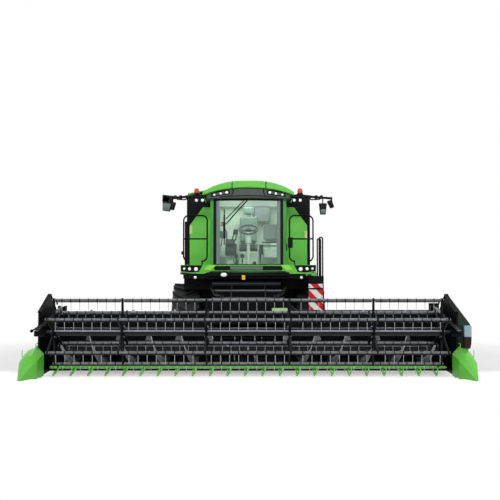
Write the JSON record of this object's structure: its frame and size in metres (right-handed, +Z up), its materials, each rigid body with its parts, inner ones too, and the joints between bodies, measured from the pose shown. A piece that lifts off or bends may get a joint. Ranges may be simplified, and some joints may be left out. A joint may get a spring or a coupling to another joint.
{
  "type": "combine harvester",
  "caption": "Self-propelled combine harvester with cab, grain tank, folded unloading tube, feeder house and a wide grain header with a tined pickup reel.",
  "frame": {"origin": "on the ground under the centre of the whole machine's bounding box", "axes": "+Z up, -Y is the direction of travel, +X is the driver's left"},
  "size_m": [7.94, 10.682, 3.9903],
  "materials": {
    "green_paint": "gloss green machine paint",
    "dark_frame": "satin dark grey chassis paint",
    "black_metal": "satin black paint",
    "silver_paint": "wheel silver paint",
    "tine_steel": "worn spring steel",
    "rod_chrome": "polished chrome rod",
    "tyre_rubber": "matt tyre rubber",
    "cab_plastic": "matt black plastic",
    "seat_fabric": "woven dark fabric",
    "window_glass": "tinted window glass",
    "lamp_lens": "clear lamp lens",
    "beacon_amber": "amber translucent lens",
    "board_stripes": "reflective red and white stripes",
    "engine_iron": "painted cast iron"
  },
  "bodies": {
    "chassis": {"chassis_frame": "dark_frame", "rear_axle": "dark_frame", "separator_body": "dark_frame", "grain_tank": "green_paint", "engine_hood": "green_paint", "engine_block": "engine_iron", "rear_hood": "green_paint", "straw_chopper": "dark_frame", "cab_shell": "green_paint", "cab_glass": "window_glass", "cab_roof": "green_paint", "roof_visor": "cab_plastic", "cab_interior": "cab_plastic", "platforms": "dark_frame", "front_panels": "green_paint", "front_fascia": "green_paint", "work_lamps": "lamp_lens", "mirrors": "cab_plastic", "beacons": "beacon_amber", "handrails": "black_metal"},
    "wheel_front_left": {"tyre_front_left": "tyre_rubber", "rim_front_left": "silver_paint"},
    "wheel_front_right": {"tyre_front_right": "tyre_rubber", "rim_front_right": "silver_paint"},
    "wheel_rear_left": {"tyre_rear_left": "tyre_rubber", "rim_rear_left": "silver_paint"},
    "wheel_rear_right": {"tyre_rear_right": "tyre_rubber", "rim_rear_right": "silver_paint"},
    "steer_left": {"knuckle_left": "dark_frame"},
    "steer_right": {"knuckle_right": "dark_frame"},
    "feeder": {"feeder_house": "dark_frame", "header_frame": "black_metal", "end_sheets": "black_metal", "crop_dividers": "green_paint", "drive_shield": "black_metal", "marker_lamp": "lamp_lens", "cutter_bar": "green_paint"},
    "auger": {"table_auger": "black_metal"},
    "reel_lift": {"reel_arms": "black_metal"},
    "reel": {"reel_rotor": "black_metal"},
    "lift_barrel": {"lift_barrels": "black_metal"},
    "lift_rod": {"lift_rods": "rod_chrome"},
    "reel_barrel": {"reel_barrels": "black_metal"},
    "reel_rod": {"reel_rods": "rod_chrome"},
    "unloader": {"unloading_tube": "green_paint"},
    "door": {"cab_door": "black_metal", "door_glass": "window_glass"},
    "cover_left": {"side_cover_left": "green_paint"},
    "cover_right": {"side_cover_right": "green_paint"},
    "lid_left": {"tank_lid_left": "green_paint"},
    "lid_right": {"tank_lid_right": "green_paint"},
    "ladder": {"ladder": "dark_frame", "marker_board": "board_stripes"},
    "bat_1": {"reel_bat_1": "tine_steel"},
    "bat_2": {"reel_bat_2": "tine_steel"},
    "bat_3": {"reel_bat_3": "tine_steel"},
    "bat_4": {"reel_bat_4": "tine_steel"},
    "bat_5": {"reel_bat_5": "tine_steel"},
    "bat_6": {"reel_bat_6": "tine_steel"}
  },
  "joints": [
    {"name": "spin_front_left", "type": "hinge", "parent": "chassis", "child": "wheel_front_left", "pos_m": [1.354, -0.8, 0.85], "axis": [1, 0, 0], "continuous": true},
    {"name": "spin_front_right", "type": "hinge", "parent": "chassis", "child": "wheel_front_right", "pos_m": [-1.354, -0.8, 0.85], "axis": [1, 0, 0], "continuous": true},
    {"name": "steer_left", "type": "hinge", "parent": "chassis", "child": "steer_left", "pos_m": [1, 3.05, 0.64], "axis": [0, 0, 1], "range_deg": [-45, 45]},
    {"name": "steer_right", "type": "hinge", "parent": "chassis", "child": "steer_right", "pos_m": [-1, 3.05, 0.64], "axis": [0, 0, 1], "range_deg": [-45, 45]},
    {"name": "spin_rear_left", "type": "hinge", "parent": "steer_left", "child": "wheel_rear_left", "pos_m": [1.33, 3.05, 0.6], "axis": [1, 0, 0], "continuous": true},
    {"name": "spin_rear_right", "type": "hinge", "parent": "steer_right", "child": "wheel_rear_right", "pos_m": [-1.33, 3.05, 0.6], "axis": [1, 0, 0], "continuous": true},
    {"name": "header_lift", "type": "hinge", "parent": "chassis", "child": "feeder", "pos_m": [0, -1.44, 1.56], "axis": [-1, 0, 0], "range_deg": [0, 20]},
    {"name": "auger_spin", "type": "hinge", "parent": "feeder", "child": "auger", "pos_m": [0, -3.775, 0.47], "axis": [1, 0, 0], "continuous": true},
    {"name": "reel_raise", "type": "hinge", "parent": "feeder", "child": "reel_lift", "pos_m": [0, -3.42, 1.19], "axis": [-1, 0, 0], "range_deg": [0, 28]},
    {"name": "reel_spin", "type": "hinge", "parent": "reel_lift", "child": "reel", "pos_m": [0, -4.8, 0.83], "axis": [1, 0, 0], "continuous": true},
    {"name": "lift_barrel_swing", "type": "hinge", "parent": "chassis", "child": "lift_barrel", "pos_m": [0, -1.05, 0.69], "axis": [-1, 0, 0], "range_deg": [0, 15.49]},
    {"name": "lift_rod_slide", "type": "slide", "parent": "lift_barrel", "child": "lift_rod", "axis": [0, -0.9959, -0.0905], "range_m": [0, 0.2983]},
    {"name": "reel_barrel_swing", "type": "hinge", "parent": "feeder", "child": "reel_barrel", "pos_m": [0, -3.5, 0.76], "axis": [-1, 0, 0], "range_deg": [0, 22.03]},
    {"name": "reel_rod_slide", "type": "slide", "parent": "reel_barrel", "child": "reel_rod", "axis": [0, -0.9398, 0.3417], "range_m": [0, 0.2007]},
    {"name": "unloader_swing", "type": "hinge", "parent": "chassis", "child": "unloader", "pos_m": [1.215, -0.18, 2.9], "axis": [0, 0, -1], "range_deg": [0, 95]},
    {"name": "door_swing", "type": "hinge", "parent": "chassis", "child": "door", "pos_m": [0.8, -1.27, 2.6], "axis": [0, 0, 1], "range_deg": [0, 80]},
    {"name": "cover_left_lift", "type": "hinge", "parent": "chassis", "child": "cover_left", "pos_m": [1.4, 2, 2.45], "axis": [0, -1, 0], "range_deg": [0, 75]},
    {"name": "cover_right_lift", "type": "hinge", "parent": "chassis", "child": "cover_right", "pos_m": [-1.4, 2, 2.45], "axis": [0, 1, 0], "range_deg": [0, 75]},
    {"name": "lid_left_open", "type": "hinge", "parent": "chassis", "child": "lid_left", "pos_m": [0.98, 0.8, 3.745], "axis": [0, 1, 0], "range_deg": [0, 70]},
    {"name": "lid_right_open", "type": "hinge", "parent": "chassis", "child": "lid_right", "pos_m": [-1.4, 0.8, 3.745], "axis": [0, -1, 0], "range_deg": [0, 100]},
    {"name": "ladder_swing", "type": "hinge", "parent": "chassis", "child": "ladder", "pos_m": [1.265, -2.17, 1.6], "axis": [0, 0, -1], "range_deg": [0, 90]},
    {"name": "bat_1_turn", "type": "hinge", "parent": "reel", "child": "bat_1", "pos_m": [0, -4.85367, 1.37738], "axis": [1, 0, 0], "continuous": true},
    {"name": "bat_2_turn", "type": "hinge", "parent": "reel", "child": "bat_2", "pos_m": [0, -5.30088, 1.05721], "axis": [1, 0, 0], "continuous": true},
    {"name": "bat_3_turn", "type": "hinge", "parent": "reel", "child": "bat_3", "pos_m": [0, -5.24721, 0.50983], "axis": [1, 0, 0], "continuous": true},
    {"name": "bat_4_turn", "type": "hinge", "parent": "reel", "child": "bat_4", "pos_m": [0, -4.74633, 0.28262], "axis": [1, 0, 0], "continuous": true},
    {"name": "bat_5_turn", "type": "hinge", "parent": "reel", "child": "bat_5", "pos_m": [0, -4.29912, 0.60279], "axis": [1, 0, 0], "continuous": true},
    {"name": "bat_6_turn", "type": "hinge", "parent": "reel", "child": "bat_6", "pos_m": [0, -4.35279, 1.15017], "axis": [1, 0, 0], "continuous": true}
  ],
  "couplings": [
    {"joint": "steer_right", "follows": "steer_left", "ratio": 1},
    {"joint": "lift_barrel_swing", "follows": "header_lift", "ratio": 0.76464},
    {"joint": "lift_rod_slide", "follows": "header_lift", "m_per_rad": 0.84891},
    {"joint": "reel_barrel_swing", "follows": "reel_raise", "ratio": 0.7798},
    {"joint": "reel_rod_slide", "follows": "reel_raise", "m_per_rad": 0.40657},
    {"joint": "bat_1_turn", "follows": "reel_spin", "ratio": -1},
    {"joint": "bat_2_turn", "follows": "reel_spin", "ratio": -1},
    {"joint": "bat_3_turn", "follows": "reel_spin", "ratio": -1},
    {"joint": "bat_4_turn", "follows": "reel_spin", "ratio": -1},
    {"joint": "bat_5_turn", "follows": "reel_spin", "ratio": -1},
    {"joint": "bat_6_turn", "follows": "reel_spin", "ratio": -1}
  ]
}
